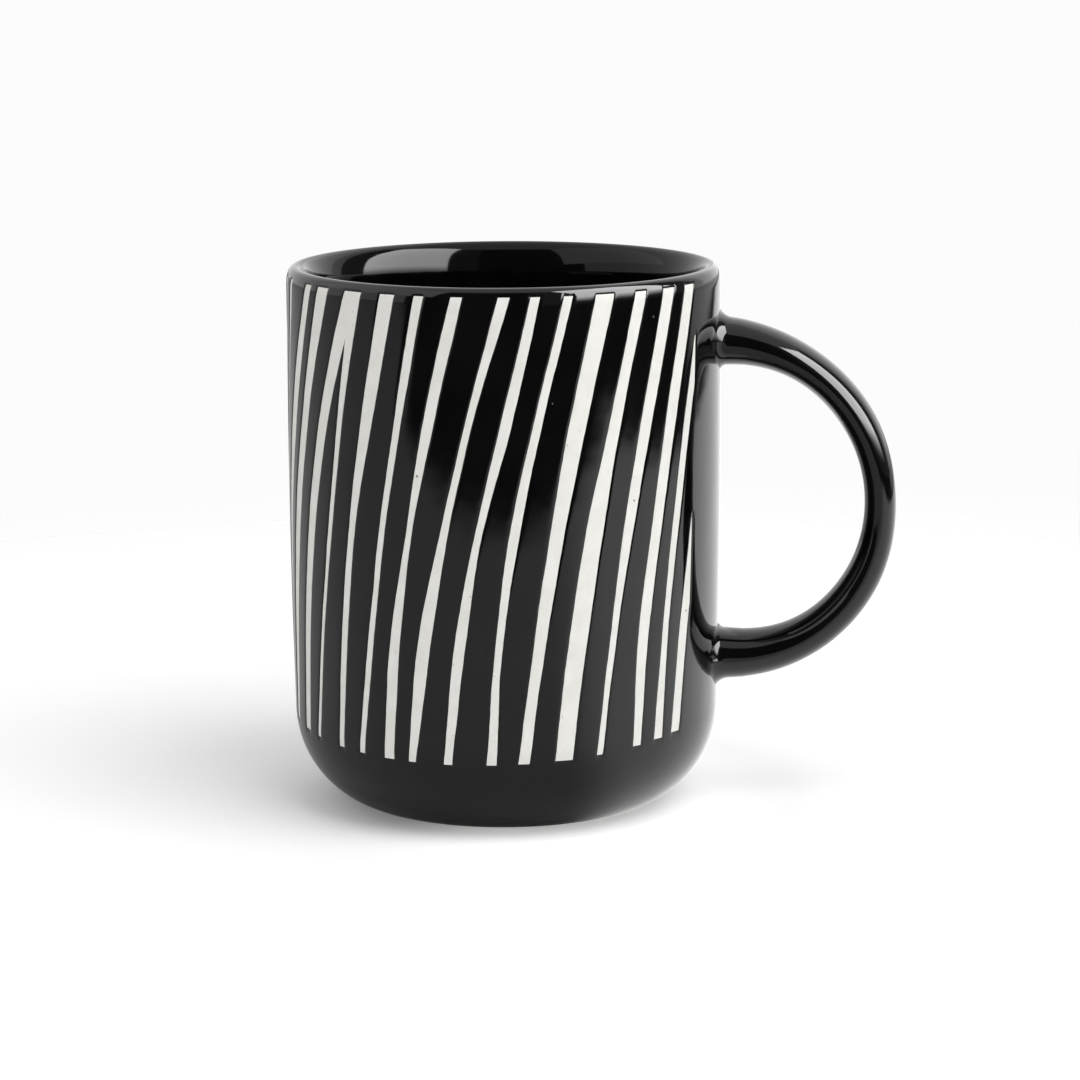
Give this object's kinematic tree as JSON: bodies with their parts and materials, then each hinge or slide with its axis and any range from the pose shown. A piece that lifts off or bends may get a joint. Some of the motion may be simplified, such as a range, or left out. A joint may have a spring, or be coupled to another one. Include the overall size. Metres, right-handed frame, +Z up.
{
  "type": "mug",
  "caption": "Tall straight-sided ceramic mug with a thin round loop handle, gloss black glaze and leaning white stripes.",
  "frame": {"origin": "on the table, at the centre of the round foot", "axes": "+Z up along the mug's axis, +X towards the handle, +Y across"},
  "size_m": [0.1177, 0.0837, 0.1047],
  "materials": {
    "stoneware": "bare fired pale stoneware with dark specks, matt and slightly gritty",
    "joining_slip": "fired slip of the same clay, matt",
    "black_glaze": "gloss black glaze, slightly uneven in thickness",
    "white_stripe": "warm white, matt, with a few tiny dark specks"
  },
  "bodies": {
    "root": {"clay_body": "stoneware", "clay_handle": "stoneware", "upper_slip_joint": "joining_slip", "lower_slip_joint": "joining_slip", "outer_glaze": "black_glaze", "liner_glaze": "black_glaze", "handle_glaze": "black_glaze", "underside_glaze": "black_glaze", "white_stripes": "white_stripe"}
  },
  "joints": []
}
